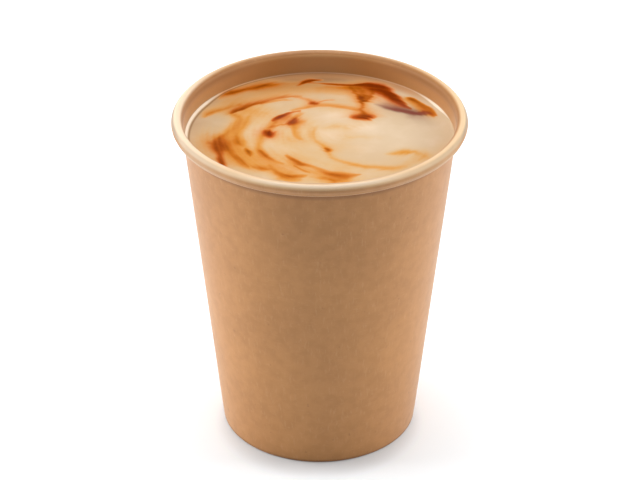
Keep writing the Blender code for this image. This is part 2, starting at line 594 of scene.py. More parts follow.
def paper_marks(nodes, cup, place):
    """The paper's marks at a place."""
    across, along, height = (part / MM for part in nodes.parts(place))
    radius = nodes.reach(across, along)
    outer = cup.foot_radius / MM + CupForm(cup).slope * height
    marks = Marks(PAPER_MARKS, across=across, along=along, height=height)
    aside = abs(across) / (WALL_HIGH.x / MM)
    out = radius - (WALL_HIGH.x - cup.roll_half_width) / MM
    marks.axes.update(
        beside=abs(across),
        above=height - BASE_HIGH.z / MM,
        up=height - WALL_HIGH.z / MM,
        out=out,
        film=out + aside * aside * (FILM_REACH - marks["right"]),
        aside=aside,
        deep=(outer - radius) / (cup.paper / MM),
    )
    return marks


def kraft_material(name, cup, shade):
    """Unbleached paper: soft clouds, pale fibres, dark flecks, and the smooth film inside and on the rim,
    with painted highlight on the rim and painted shade under the rim, on the roll's inner side, at the foot
    and towards the top of the wall.
    """
    material, nodes, shader = new_material(
        name, cup.kraft, Coat_Roughness=0.25, Coat_IOR=1.5, Specular_IOR_Level=0.5,
        Sheen_Weight=0.28, Sheen_Roughness=0.35
    )
    place = nodes.place()
    grain = {}
    shown = {}
    for kind, its in GRAIN.items():
        stretched = nodes.vector("MULTIPLY_ADD", place, its.stretch, its.shift)
        grain[kind] = nodes.clouds(stretched, its.size, its.detail)
        shown[kind] = grain[kind].step(*its.band) * its.cover

    marks = paper_marks(nodes, cup, place)
    lining = marks["lining"]
    turning = marks["turning"]
    # The rim's film: partly its own paler colour, partly painted highlight; less of it at the back as painted
    # shade, more on the roll's outside at the sides.
    crown = marks["crown"] * (CROWN_COVER - marks["behind"])
    crown = crown.larger(marks["roll"] * (ROLL_COVER + ROLL_TURNING * turning))
    # Painted highlight on the rim at the left and along its front ridge.
    film = nodes.mix(marks["pale"].larger(marks["ridge"]), cup.rim, cup.rim_highlight)
    paper = nodes.layered(
        cup.kraft,
        # Darker clouds, and painted shade towards the top of the wall.
        (shown["broad"] + shown["mottle"] + marks["upper"], cup.kraft_dark),
        (shown["upright"], cup.fibre),
        (shown["lying"], cup.fibre),
        (shown["flecks"], cup.fleck),
        (lining * LINING_COVER, cup.lining),
        # Painted shade on the roll's inner side.
        (marks["hollow"], cup.fleck),
        (lining * marks["lap"], cup.fibre),
        # Rim film, partly painted highlight, with painted shade on its outside at the sides.
        (crown, nodes.mix(marks["flank"] * turning + marks["side"], film, cup.rim_shade)),
        # Painted shadow under the rolled rim, on the outside only.
        (marks["pressed"] * (1.0 - lining), cup.fleck),
        # Painted shade along the foot's lower edge.
        (marks["foot"], cup.fleck),
    )
    paper = nodes.mix(1.0, paper, shade, "MULTIPLY")

    matt = marks["matt"]
    rough = PAPER_ROUGHNESS - FILM_SMOOTHING * lining.larger(marks["smooth"])
    rough = rough + MOTTLE_ROUGHNESS * (grain["mottle"] - 0.5) + SIDE_ROUGHNESS * marks["smooth"] * matt
    facing = nodes.add("ShaderNodeLayerWeight", {"Blend": 0.5}, output=1)
    gloss = crown * (CROWN_GLOSS - SIDE_DULLING * matt) * facing.step(*GLANCING)
    gloss = gloss.larger(lining * LINING_GLOSS)
    relief = sum(grain[kind] * share for kind, share in RELIEF.items())
    bump = {"Height": relief, "Strength": RELIEF_STRENGTH, "Distance": RELIEF_DEPTH}
    bump = nodes.add("ShaderNodeBump", bump)
    nodes.feed(shader, Base_Color=paper, Roughness=rough, Coat_Weight=gloss, Normal=bump)
    return material


# ---------------- syrup

# A strand is laid along a route of stations: x, y and half width in tenths of a millimetre, then strength
# from 0 to 100. Its field is what it adds: syrup, veil (milk clouded over syrup), cream, and painted shade
# in tan, for the paper's shade and reflection near the wall and a darker tone in the middle. Its edges
# are for the left and right of its direction, and rust turns amber to a darker red.
Strand = namedtuple("Strand", "field left right rust route")
STATION_UNITS = (10.0, 10.0, 10.0, 100.0)

# An edge's spread as a share of the half width, how steeply it falls, and strength of the halo beyond it.
SOFT = (1.5, 1.5, 0.2)
EVEN = (1.05, 2.2, 0.18)
FIRM = (1.0, 2.8, 0.04)
CRISP = (0.95, 4.0, 0.0)


def strand_of(field, left, right, rust, *stations):
    """A strand, its stations turned to millimetres and strengths from 0 to 1."""
    return Strand(field, left, right, rust, np.array(stations) / STATION_UNITS)


# Syrup of any edges, soft washes and even threads of it, and veil, cream and painted shade with soft edges.
syrup = partial(strand_of, "syrup")
wash = partial(syrup, SOFT, SOFT)
thread = partial(syrup, EVEN, EVEN)
veil, cream, thin = (partial(strand_of, field, SOFT, SOFT, 0.0) for field in ("veil", "cream", "thin"))

STRANDS = (
    # Dark lens at the back, and the thread that runs from it to the great streak.
    syrup(
        EVEN, CRISP, 0.62, (-69, 336, 5, 45), (-56, 350, 10, 95), (-40, 361, 12, 100), (-24, 369, 9, 95),
        (-8, 371, 6, 70), (8, 369, 3, 30),
    ),
    thread(
        0.6, (-30, 352, 5, 55), (-5, 350, 4.5, 65), (20, 343, 5, 85), (50, 339, 5, 90), (80, 336, 6, 95),
        (105, 335, 8, 100), (130, 336, 10, 100),
    ),
    # The great streak.
    syrup(
        CRISP, FIRM, 0.85, (110, 341, 5, 80), (128, 340, 10, 100), (152, 332, 20, 100), (178, 320, 27, 100),
        (202, 298, 26, 100), (216, 274, 22, 98), (228, 252, 20, 95), (242, 230, 16, 90), (256, 210, 11, 84),
        (268, 192, 8, 72), (280, 179, 5, 50),
    ),
    wash(0.9, (168, 304, 10, 36), (184, 284, 10, 36), (202, 266, 8, 30)),
    # Amber wedge under it, with darker edges.
    wash(
        0.4, (122, 320, 21, 64), (130, 296, 21, 70), (134, 270, 17, 72), (135, 246, 12, 78),
        (134, 226, 8, 80), (133, 212, 5, 60),
    ),
    thread(
        0.35, (96, 322, 6, 40), (106, 296, 7, 50), (116, 272, 7, 55), (124, 250, 8, 60), (132, 226, 8, 66),
    ),
    syrup(EVEN, SOFT, 0.5, (164, 305, 6, 45), (162, 280, 7, 50), (154, 254, 7, 52), (142, 228, 7, 60)),
    thread(0.9, (124, 257, 6, 50), (128, 248, 9, 75), (130, 238, 6, 50)),
    syrup(SOFT, EVEN, 0.1, (15, 323, 5, 30), (60, 319, 8, 45), (93, 316, 9, 55), (120, 314, 10, 50)),
    wash(0.2, (0, 312, 14, 26), (50, 308, 16, 32), (90, 306, 15, 38)),
    # Stem and flat-bottomed drop.
    thread(
        0.4, (133, 212, 7, 60), (129, 188, 7, 45), (129, 166, 8, 52), (133, 146, 11, 60),
        (136, 132, 14, 70),
    ),
    wash(0.5, (132, 185, 13, 25), (134, 162, 17, 34), (136, 140, 20, 36)),
    syrup(
        EVEN, FIRM, 0.78, (102, 121, 9, 50), (114, 123, 15, 84), (132, 124, 18, 92), (149, 124, 17, 96),
        (162, 123, 11, 60),
    ),
    # Veiled streak at the right, and its amber neighbour along the wall.
    strand_of(
        "veil", SOFT, EVEN, 0, (178, 206, 8, 35), (200, 192, 11, 66), (220, 180, 12, 82),
        (245, 170, 13, 96), (270, 159, 12, 94), (295, 148, 13, 100), (315, 144, 11, 80), (334, 142, 7, 50),
    ),
    veil((210, 216, 13, 30), (240, 194, 14, 36), (272, 176, 12, 40)),
    wash(1, (174, 254, 18, 12), (198, 226, 19, 14), (246, 198, 13, 32)),
    veil((290, 128, 18, 34), (315, 112, 25, 32), (345, 80, 26, 20)),
    thread(
        0.7, (306, 149, 6, 60), (322, 155, 10, 85), (337, 149, 10, 78), (350, 137, 8, 60),
        (357, 129, 4, 40),
    ),
    syrup(
        CRISP, SOFT, 0.22, (266, 251, 5, 40), (278, 244, 10, 88), (292, 230, 12, 88), (306, 210, 13, 84),
        (320, 190, 14, 84), (334, 170, 14, 76), (345, 150, 12, 72), (354, 130, 8, 50),
    ),
    # Streaks along the wall at the back left.
    wash(
        0.3, (-312, 244, 5, 40), (-295, 264, 9, 74), (-276, 278, 11, 95), (-255, 292, 11, 92),
        (-230, 307, 12, 85), (-200, 320, 14, 94), (-175, 330, 15, 94), (-150, 338, 15, 84),
        (-120, 344, 13, 56), (-80, 350, 10, 25),
    ),
    syrup(
        SOFT, EVEN, 0.1, (-354, 122, 8, 42), (-340, 142, 11, 62), (-320, 158, 10, 52), (-300, 170, 9, 46),
        (-280, 184, 9, 40), (-250, 204, 8, 32),
    ),
    wash(
        0.1, (-330, 170, 20, 20), (-300, 215, 26, 20), (-240, 255, 28, 18), (-140, 286, 24, 17),
        (-40, 294, 20, 16), (50, 284, 16, 12),
    ),
    # Long arc at the left and what trails from it.
    syrup(
        SOFT, CRISP, 0.5, (-275, 143, 3, 40), (-266, 154, 7, 82), (-254, 166, 8.5, 95), (-240, 177, 9, 97),
        (-220, 195, 9, 90), (-200, 209, 9, 78), (-175, 225, 8, 62), (-145, 240, 7, 52), (-120, 250, 7, 50),
        (-90, 257, 6, 45), (-60, 258, 5, 30),
    ),
    wash(0.3, (-240, 195, 10, 20), (-200, 224, 11, 26), (-160, 246, 10, 26), (-110, 264, 9, 22)),
    thread(0.3, (-180, 210, 5, 40), (-150, 224, 6, 42), (-120, 233, 6, 36), (-90, 236, 5, 25)),
    wash(
        0.15, (-270, 144, 7, 46), (-256, 130, 9, 46), (-246, 112, 9, 42), (-248, 88, 10, 38),
        (-258, 60, 11, 38), (-272, 34, 11, 40), (-288, 8, 11, 46), (-302, -15, 12, 56),
    ),
    wash(
        0.1, (-218, 120, 7, 26), (-224, 95, 9, 32), (-234, 60, 9, 32), (-244, 30, 9, 34), (-248, 0, 9, 42),
        (-246, -30, 10, 62), (-242, -47, 10, 72), (-230, -62, 6, 40),
    ),
    wash(0.2, (-250, 80, 18, 22), (-262, 30, 18, 20), (-270, -25, 18, 18)),
    thread(
        0.62, (-296, 6, 6, 30), (-300, -18, 11, 55), (-302, -42, 20, 74), (-299, -70, 25, 80),
        (-300, -96, 16, 78), (-296, -124, 11, 70), (-296, -152, 11, 84), (-290, -176, 10, 88),
        (-282, -196, 7, 65),
    ),
    wash(0.45, (-332, -48, 8, 50), (-316, -56, 13, 60), (-310, -90, 11, 50)),
    # Amber cloud at the front left.
    wash(
        0.12, (-274, -50, 22, 40), (-254, -100, 27, 44), (-230, -150, 26, 44), (-200, -188, 20, 38),
        (-150, -216, 16, 28), (-100, -250, 16, 30),
    ),
    thread(0.1, (-227, -80, 5, 50), (-218, -96, 9, 82), (-213, -109, 9, 78), (-208, -126, 5, 50)),
    syrup(
        EVEN, SOFT, 0.2, (-278, -70, 7, 45), (-270, -94, 8, 56), (-260, -120, 8, 50), (-250, -136, 9, 60),
        (-238, -156, 9, 62), (-228, -176, 9, 60), (-214, -194, 7, 45),
    ),
    syrup(SOFT, EVEN, 0.25, (-194, -194, 8, 40), (-172, -206, 10, 54), (-152, -212, 7, 40)),
    thread(
        0.2, (-148, -186, 7, 30), (-133, -216, 9, 36), (-116, -240, 11, 54), (-90, -254, 12, 68),
        (-62, -253, 10, 60), (-40, -248, 6, 36),
    ),
    wash(0.1, (-115, -264, 8, 36), (-86, -274, 9, 42), (-60, -272, 6, 30)),
    wash(
        0.3, (-260, -170, 22, 6), (-210, -130, 22, 6), (-175, -150, 16, 20), (-130, -185, 18, 24),
        (-85, -220, 16, 22),
    ),
    # Red-brown spots of the inner turn, with their links.
    syrup(
        CRISP, EVEN, 0.8, (-143, 98, 6, 55), (-134, 113, 9, 90), (-123, 125, 10, 100), (-110, 135, 9, 92),
        (-96, 146, 7, 75), (-80, 154, 5, 55), (-60, 160, 4, 35),
    ),
    wash(0.65, (-130, 94, 8, 20), (-114, 110, 9, 30), (-96, 124, 8, 30)),
    thread(0.75, (-98, 80, 7, 55), (-87, 86, 12, 92), (-79, 96, 12, 88), (-71, 108, 8, 55)),
    wash(0.4, (-70, 86, 10, 45), (-54, 92, 7, 30)),
    veil((-90, 84, 9, 20), (-78, 96, 11, 36), (-68, 108, 8, 20)),
    veil((-132, 116, 8, 24), (-114, 132, 9, 28), (-94, 146, 6, 16)),
    syrup(EVEN, SOFT, 0.35, (-78, 114, 8, 50), (-68, 134, 7, 38), (-56, 152, 5, 25)),
    syrup(
        SOFT, EVEN, 0.15, (-80, 70, 9, 50), (-76, 45, 8, 42), (-73, 20, 8, 40), (-69, 0, 7, 36),
        (-58, -22, 5, 25),
    ),
    thread(0.5, (-96, 76, 6, 40), (-116, 74, 5, 32), (-132, 68, 6, 34), (-148, 54, 7, 36)),
    thread(
        0.85, (-166, 32, 8, 60), (-160, 22, 13, 95), (-155, 9, 14, 100), (-152, -4, 10, 80),
        (-152, -14, 5, 45),
    ),
    thread(0.85, (-150, 14, 9, 70), (-142, 22, 7, 55), (-136, 30, 4, 30)),
    wash(0.35, (-162, 26, 8, 50), (-156, 46, 8, 42), (-147, 66, 9, 42), (-138, 88, 9, 46)),
    wash(
        0.15, (-172, 2, 8, 42), (-180, -20, 8, 36), (-182, -50, 8, 34), (-182, -80, 8, 38),
        (-179, -100, 8, 50),
    ),
    syrup(
        EVEN, SOFT, 0.3, (-180, -98, 6, 52), (-167, -121, 9, 78), (-151, -140, 8, 66), (-134, -156, 6, 42),
        (-110, -172, 5, 24),
    ),
    thread(
        0.75, (-31, 211, 6, 50), (-21, 214, 10, 88), (-12, 212, 9, 82), (-2, 220, 5, 45), (16, 230, 4, 30),
        (45, 235, 4, 20),
    ),
    wash(0.6, (-65, 253, 6, 26), (-42, 239, 6, 30), (-26, 224, 6, 40)),
    syrup(
        SOFT, EVEN, 0.35, (-80, 166, 6, 36), (-50, 182, 8, 42), (-20, 196, 9, 42), (20, 200, 9, 40),
        (60, 192, 9, 40), (90, 182, 8, 40), (116, 170, 7, 40),
    ),
    # Streak and lobe at the front.
    thread(
        0.3, (-99, -125, 5, 40), (-86, -144, 8, 64), (-72, -160, 9, 80), (-60, -174, 11, 86),
        (-46, -180, 9, 66), (-26, -192, 8, 42), (-4, -210, 9, 46), (20, -230, 11, 56), (48, -244, 17, 74),
        (74, -250, 17, 70), (96, -246, 12, 56), (118, -240, 6, 30),
    ),
    wash(0.15, (16, -260, 9, 40), (50, -276, 11, 50), (82, -272, 9, 40)),
    syrup(EVEN, SOFT, 0.15, (40, -282, 8, 42), (44, -305, 7, 40), (56, -340, 8, 30)),
    thread(0.25, (-74, -190, 4, 36), (-46, -220, 5, 46), (-30, -230, 4, 30)),
    wash(0.2, (-80, -172, 12, 22), (-40, -206, 14, 20), (10, -254, 16, 26)),
    # Faint inner ring and the right-hand end of it.
    wash(
        0.08, (-14, 50, 7, 14), (-20, 20, 9, 20), (-16, -10, 9, 22), (-6, -36, 8, 26), (6, -54, 8, 30),
        (17, -72, 8, 36), (25, -88, 8, 42), (25, -108, 6, 28), (35, -130, 6, 24), (52, -150, 7, 28),
        (76, -168, 7, 34), (104, -181, 7, 40), (134, -190, 7, 40), (166, -194, 7, 34), (204, -198, 9, 26),
        (240, -194, 12, 22), (272, -174, 13, 20), (300, -148, 13, 18), (318, -120, 11, 14),
        (316, -90, 9, 10),
    ),
    thread(0.35, (20, -80, 6, 50), (26, -89, 10, 72), (30, -98, 5, 40)),
    wash(0.05, (185, -204, 10, 14), (220, -206, 12, 18), (255, -194, 10, 10)),
    wash(
        0, (204, -113, 6, 24), (226, -109, 9, 38), (254, -101, 10, 48), (278, -100, 9, 36),
        (300, -110, 9, 20), (316, -128, 9, 12),
    ),
    wash(0.05, (22, 54, 12, 14), (50, 62, 14, 20), (80, 56, 12, 14)),
    wash(
        0, (-80, -80, 30, 12), (-20, -140, 36, 17), (60, -190, 36, 17), (150, -190, 34, 10),
        (240, -150, 34, 5),
    ),
    wash(0, (-20, -270, 26, 12), (80, -290, 28, 14), (180, -250, 30, 10)),
    wash(0.05, (90, -12, 10, 12), (135, -6, 12, 15), (185, -8, 10, 10)),
    # Close to the wall at the front.
    syrup(
        SOFT, EVEN, 0.25, (-240, -245, 6, 40), (-205, -280, 9, 60), (-155, -312, 9, 66),
        (-100, -334, 7, 50), (-45, -342, 5, 30),
    ),
    wash(0.1, (100, -320, 8, 30), (155, -304, 11, 42), (205, -276, 10, 38), (250, -240, 8, 26)),
    # Milkier places, and painted shade in tan: the paper's reflection along the back, its shade by the wall
    # at the front and a faint darker tone in the middle; with soft washes of syrup among them.
    cream((20, 126, 20, 50), (45, 138, 24, 90), (80, 140, 20, 60)),
    cream((115, 54, 16, 60), (142, 56, 20, 90), (175, 64, 16, 50)),
    cream((10, 16, 14, 60), (28, 4, 18, 70), (45, -10, 14, 40)),
    cream((-190, 150, 14, 30), (-170, 100, 14, 25), (-200, 40, 18, 35)),
    cream((-120, 10, 16, 30), (-130, -50, 20, 40), (-90, -100, 18, 35)),
    cream((-140, 274, 8, 20), (-40, 276, 8, 40), (70, 260, 9, 50)),
    cream((220, 315, 16, 30), (280, 270, 14, 30), (350, 170, 14, 30)),
    # Painted reflection of the paper, a broad tan band along the back wall.
    thin(
        (-380, -100, 22, 20), (-386, 20, 22, 25), (-360, 160, 24, 35), (-300, 270, 26, 50),
        (-160, 360, 42, 82), (-40, 376, 49, 88), (40, 376, 49, 82), (120, 372, 42, 68), (240, 320, 28, 40),
    ),
    # A faint darker tan over the middle and front.
    thin((-100, 10, 50, 7), (-40, -120, 70, 8), (120, -200, 70, 10), (240, -180, 50, 4)),
    # Painted shade close to the wall at the front left and front right.
    thin((-260, -230, 26, 14), (-330, -170, 28, 22), (-380, -60, 20, 14)),
    thin((270, -260, 20, 10), (340, -180, 28, 24), (380, -80, 28, 22), (395, 20, 20, 12)),
    wash(0.1, (-360, 40, 30, 12), (-360, -40, 30, 16), (-320, -160, 30, 17)),
    wash(
        0.1, (-250, 166, 30, 34), (-220, 170, 36, 42), (-170, 146, 38, 30), (-120, 180, 32, 15),
        (-40, 230, 30, 8),
    ),
    wash(
        0.1, (-120, -130, 40, 19), (-120, -70, 36, 14), (-90, -20, 36, 25), (-40, -30, 36, 18),
        (-20, 70, 36, 13), (0, 140, 36, 12), (40, 180, 30, 16),
    ),
    wash(
        0.1, (110, -85, 34, 14), (70, -60, 32, 15), (70, -10, 30, 14), (90, 35, 30, 14), (125, 70, 24, 10),
    ),
    wash(0.05, (280, -120, 28, 14), (320, -130, 30, 20), (340, -140, 30, 18), (370, -70, 30, 14)),
    wash(
        0.2, (-180, 306, 22, 12), (-120, 316, 24, 22), (-50, 320, 24, 28), (20, 318, 22, 24),
        (70, 316, 20, 16),
    ),
    cream((180, -50, 40, 20), (270, -30, 50, 35), (300, 40, 40, 30)),
    # More painted reflection of the paper along the back wall.
    thin(
        (-280, 225, 34, 50), (-200, 280, 34, 50), (-130, 314, 32, 74), (-50, 330, 30, 80),
        (20, 332, 28, 68), (90, 330, 22, 40),
    ),
)

# The drink's swirl turns about this point, in millimetres. A route has these steps between stations.
SWIRL_CENTRE = (8.0, 1.0)
ROUTE_STEPS = 10

# How far from its route a strand still shows and how wide it and its halo are, in half widths, then the
# thinnest half width and the least that the square of a step's length is taken for.
REACH = 5.0
WIDEN = 1.15
HALO_WIDTH = 2.6
THINNEST = 0.05
TINY = 1e-9

# Seeded noises that stir the strands: comb and fray change with the direction and distance from the
# swirl's centre and slide the strands along it, broad and narrow change with the place and shift them.
NOISE_SHIFT = Vector((17.3, -9.1, 4.7))
COMB = (1.6, 1.6, 0.85)
FRAY = (5.0, 5.0, 1.5)
BROAD = 0.19
NARROW = 0.55
NARROW_LEVEL = (0.0, 0.0, 1.0)
COMB_SLIDE = 0.8
FRAY_SLIDE = 0.2
BROAD_SHIFT = 0.45
NARROW_SHIFT = 0.12

# Parts of comb and fray in the combing of the syrup, and the share by which that changes its strength.
COMB_TONE = 0.6
FRAY_TONE = 0.4
COMBED = 0.18

# The least distance from the swirl's centre, and the least weight under the mean rust.
CENTRE_SIZE = 0.5
RUST_FLOOR = 1e-4


def smooth_route(stations):
    """A Catmull-Rom curve through the stations, with their widths and strengths."""
    padded = np.vstack([2 * stations[0] - stations[1], stations, 2 * stations[-1] - stations[-2]])
    part = np.arange(ROUTE_STEPS)[:, None] / ROUTE_STEPS
    spans = []
    for before, start, end, after in zip(padded, padded[1:], padded[2:], padded[3:]):
        spans.append(0.5 * (
            2 * start
            + (end - before) * part
            + (2 * before - 5 * start + 4 * end - after) * part**2
            + (3 * start - before - 3 * end + after) * part**3
        ))
    spans.append(stations[-1:])
    return np.vstack(spans)


def laid(strand, points):
    """How much of a strand lies at each point, from 0 to 1."""
    route = smooth_route(strand.route)
    margin = REACH * route[:, 2].max()
    low = route[:, :2].min(axis=0) - margin
    high = route[:, :2].max(axis=0) + margin
    near = np.flatnonzero(((points > low) & (points < high)).all(axis=1))
    spots = points[near]
    best = np.zeros(len(near))
    for start, end in zip(route, route[1:]):
        along = end[:2] - start[:2]
        part = np.clip((spots - start[:2]) @ along / max(along @ along, TINY), 0.0, 1.0)
        away = spots - start[:2] - part[:, None] * along
        left = along[0] * away[:, 1] > along[1] * away[:, 0]
        spread, fall, halo = (np.where(left, *sides) for sides in zip(strand.left, strand.right))
        width = WIDEN * np.maximum(start[2] + part * (end[2] - start[2]), THINNEST)
        peak = np.clip(start[3] + part * (end[3] - start[3]), 0.0, 1.0)
        share = np.hypot(away[:, 0], away[:, 1]) / (width * spread)
        core = np.exp(-(share**fall))
        best = np.maximum(best, peak * np.maximum(core, halo * np.exp(-((share / HALO_WIDTH) ** 2))))
    amount = np.zeros(len(points))
    amount[near] = best
    return amount


def noise_at(places, seed):
    """Smooth noise from -1 to 1 at 3-D places."""
    shift = NOISE_SHIFT * seed
    return np.array([noise.noise(Vector(place) + shift) for place in places])


def stirred(points):
    """The points moved a little along and across the swirl, which frays the strands, and that combing."""
    rel = points - SWIRL_CENTRE
    far = np.maximum(np.hypot(rel[:, 0], rel[:, 1]), CENTRE_SIZE)
    heading = rel / far[:, None]
    flow = np.stack([-heading[:, 1], heading[:, 0]], axis=1)
    polar = np.column_stack([heading, far])
    flat = np.column_stack([points, np.zeros(len(points))])
    comb = noise_at(polar * COMB, 1)
    fray = noise_at(polar * FRAY, 2)
    broad = noise_at(flat * BROAD, 3)
    narrow = noise_at(flat * NARROW + NARROW_LEVEL, 4)
    slide = COMB_SLIDE * comb + FRAY_SLIDE * fray
    shift = BROAD_SHIFT * broad + NARROW_SHIFT * narrow
    moved = points + flow * slide[:, None] + heading * shift[:, None]
    return moved, COMB_TONE * comb + FRAY_TONE * fray


def paint_drink(mesh):
    """Fill the mesh's attributes from the strands."""
    place = np.empty(len(mesh.vertices) * 3, np.float32)
    mesh.vertices.foreach_get("co", place)
    points = place.reshape(-1, 3)[:, :2].astype(float) / MM
    moved, combing = stirred(points)
    fields = {name: np.zeros(len(points)) for name in ("syrup", "veil", "cream", "thin")}
    rust = np.zeros(len(points))
    weight = np.full(len(points), RUST_FLOOR)
    for strand in STRANDS:
        amount = laid(strand, moved)
        fields[strand.field] += amount * (1.0 - fields[strand.field])
        if strand.field == "syrup":
            rust += strand.rust * amount**2
            weight += amount**2
    fields["syrup"] = np.clip(fields["syrup"] * (1.0 + COMBED * combing), 0.0, 1.0)
    fields["rust"] = rust / weight
    for name, values in fields.items():
        layer = mesh.attributes.new(name, "FLOAT", "POINT")
        layer.data.foreach_set("value", values.astype(np.float32))


# Strength of the syrup, with the colours of amber syrup and of rusty syrup at that strength.
SYRUP_TONES = (
    (0.0, (212, 177, 133), (212, 167, 126)),
    (0.25, (207, 163, 104), (209, 144, 92)),
    (0.5, (204, 140, 61), (198, 108, 52)),
    (0.72, (192, 112, 26), (174, 69, 28)),
    (0.88, (164, 88, 12), (142, 50, 2)),
    (1.0, (136, 68, 4), (112, 32, 0)),
)
AMBER = [(share, srgb(*tone)) for share, tone, _ in SYRUP_TONES]
RUST = [(share, srgb(*tone)) for share, _, tone in SYRUP_TONES]

# Size and detail of the clouds in the drink, and covers of its painted shade in tan and of the painted dark
# line on the raised edge.
FINE_CLOUDS = (1.4 * MM, 4.0)
BODY_CLOUDS = (9.0 * MM, 3.0)
SHADE_COVER = 0.92
EDGE_SHADE_COVER = 0.7

# Marks on the drink, on these axes: across and along from its middle and edge in from the paper, all in
# millimetres, slanted, which is along less a slant to the right, share, which is edge as a share of the
# raised edge's width, and the clouds of the body and the amounts of syrup and veil, with depth the syrup
# once the fine clouds have stirred it.
DRINK_MARKS = {
    "milky": (0.35, ("body", 0.42, 0.75)),
    "stirred": (0.10, ("syrup", 0.05, 0.3)),
    "stained": (1.0, ("depth", 0.02, 0.42)),
    "faint": (0.5, ("depth", 0.8, 0.5)),
    "veiled": (1.0, ("veil", 0.0, 1.0)),
    "left": (1.0, ("across", 24.0, -30.0)),
    "back": (1.0, ("along", 18.0, 30.0)),
    # Painted reflection of the paper close to the back wall.
    "shallow": (0.8, ("edge", 3.6, 0.6)),
    "slant": (23.0, ("across", -10.0, 30.0)),
    "raised": (1.0, ("slanted", -18.0, -4.0)),
    # Painted highlight on the raised edge.
    "lip": (1.0, ("edge", 0.0, 0.2), ("share", 1.1, 0.6)),
    # Painted reflection of the paper as a dark line where the raised edge begins; below, painted shadow where
    # the drink meets the paper.
    "fold": (1.0, ("share", 1.0, 1.2), ("share", 1.9, 1.35)),
    "touching": (1.0, ("edge", 0.25, 0.0)),
}

# Width of the raised edge in millimetres, what the left adds and the back takes, and the least; and what
# the back and the left take from the painted highlight on it.
EDGE_WIDTH = 0.9
EDGE_LEFT = 0.1
EDGE_BACK = 0.6
EDGE_LEAST = 0.1
LIP_BACK = 0.8
LIP_LEFT = 0.2


def drink_material(drink, contact):
    """Milk tea with its syrup, fine mottling and a raised edge that meets the paper at the contact radius;
    painted shade and painted reflection of the paper darken it near the wall, and the edge carries a painted
    highlight and painted dark lines.
    """
    material, nodes, shader = new_material(
        "milk_tea", drink.tea, Roughness=0.16, IOR=1.34, Specular_IOR_Level=0.06
    )
    place = nodes.place()
    across, along, _ = (part / MM for part in nodes.parts(place))
    edge = contact / MM - nodes.reach(across, along)
    sugar = nodes.attribute("syrup")
    marks = Marks(DRINK_MARKS, across=across, along=along, edge=edge, syrup=sugar)
    marks.axes["veil"] = nodes.attribute("veil")
    marks.axes["body"] = nodes.clouds(place, *BODY_CLOUDS)
    left = marks["left"]
    back = marks["back"]

    shading = nodes.attribute("thin")
    milk = nodes.layered(
        drink.tea,
        (nodes.attribute("cream"), drink.cream),
        (marks["milky"], drink.cream),
        # Painted shade in tan.
        (shading * SHADE_COVER, drink.tan),
        # Painted reflection of the paper close to the back wall.
        (marks["shallow"] * back, drink.shallow),
    )
    depth = sugar + (nodes.clouds(place, *FINE_CLOUDS) - 0.5) * marks["stirred"]
    marks.axes["depth"] = depth
    stain = nodes.mix(nodes.attribute("rust"), nodes.ramp(depth, AMBER), nodes.ramp(depth, RUST))

    # The painted marks of the raised edge lie on the left and at the back, not at the front right.
    marks.axes["slanted"] = along - marks["slant"]
    raised = marks["raised"]
    width = raised * (EDGE_WIDTH + EDGE_LEFT * left - EDGE_BACK * back)
    marks.axes["share"] = edge / width.larger(EDGE_LEAST)
    # Painted highlight along the raised edge, weaker at the back and on the left.
    lip = marks["lip"] * raised * (1.0 - LIP_BACK * back) * (1.0 - LIP_LEFT * left)
    # Painted reflection and painted shadow as dark lines on the left of the raised edge.
    fold = (marks["fold"] * raised).larger(marks["touching"]) * left
    surface = nodes.layered(
        milk,
        (marks["stained"] * (1.0 - shading * marks["faint"]), stain),
        (marks["veiled"], drink.mauve),
        (fold * EDGE_SHADE_COVER, drink.fold),
        (lip, drink.lip),
    )
    nodes.feed(shader, Base_Color=surface)
    return material


def drink_outline(drink, form):
    """From the middle of the surface up the meniscus, down the wall and back to the axis."""
    contact = form.inner(TEA_HIGH.z) + WALL_OVERLAP
    flat_edge = contact - drink.meniscus_reach
    outline = [(flat_edge * i / SURFACE_RINGS, drink.level) for i in range(SURFACE_RINGS)]
    lowest = math.exp(-MENISCUS_FALL)
    for i in range(MENISCUS_RINGS + 1):
        away = (1 - i / MENISCUS_RINGS) ** 2
        rise = (math.exp(-MENISCUS_FALL * away) - lowest) / (1 - lowest)
        height = drink.level + (TEA_HIGH.z - drink.level) * rise
        outline.append((contact - drink.meniscus_reach * away, height))
    bottom = BASE_HIGH.z - WALL_OVERLAP
    outline.append((form.inner(bottom) + WALL_OVERLAP, bottom))
    outline.append((0.0, bottom))
    return outline


# ---------------- stage

# Soft boxes: the setting with their power, place, and width and height in metres.
SOFT_BOXES = {
    "left_box": ("left", (-0.75, 0.12, 0.22), (0.5, 0.7)),
    "right_box": ("right", (0.75, 0.12, 0.22), (0.5, 0.7)),
    "rear_box": ("rear", (0.0, 0.26, 0.98), (1.0, 0.3)),
    "backdrop": ("backdrop", (0.0, 1.2, 0.3), (2.4, 0.56)),
}
CUP_MIDDLE = Vector((0.0, 0.0, WALL_HIGH.z / 2))
OVERHEAD_ANGLE = math.radians(50.0)
OVERHEAD_TILT = math.radians(5.5)
BACKGROUND = 1.05
NEAREST_SEEN = 0.01

FLOOR_SIZE = 1.3
FLOOR_CLOUDS = (0.5, 1.0)
FLOOR_TONES = ((0.91, 0.955, 0.99, 1.0), (0.92, 0.965, 1.0, 1.0))
# Painted contact shadow on the floor round the foot: its tone, where it fades, and how far it reaches
# forward.
CONTACT_SHADOW_TONE = (0.67, 0.69, 0.71, 1.0)
CONTACT_FADE = (35.0 * MM, 26.0 * MM)
CONTACT_FORWARD = 7.0 * MM


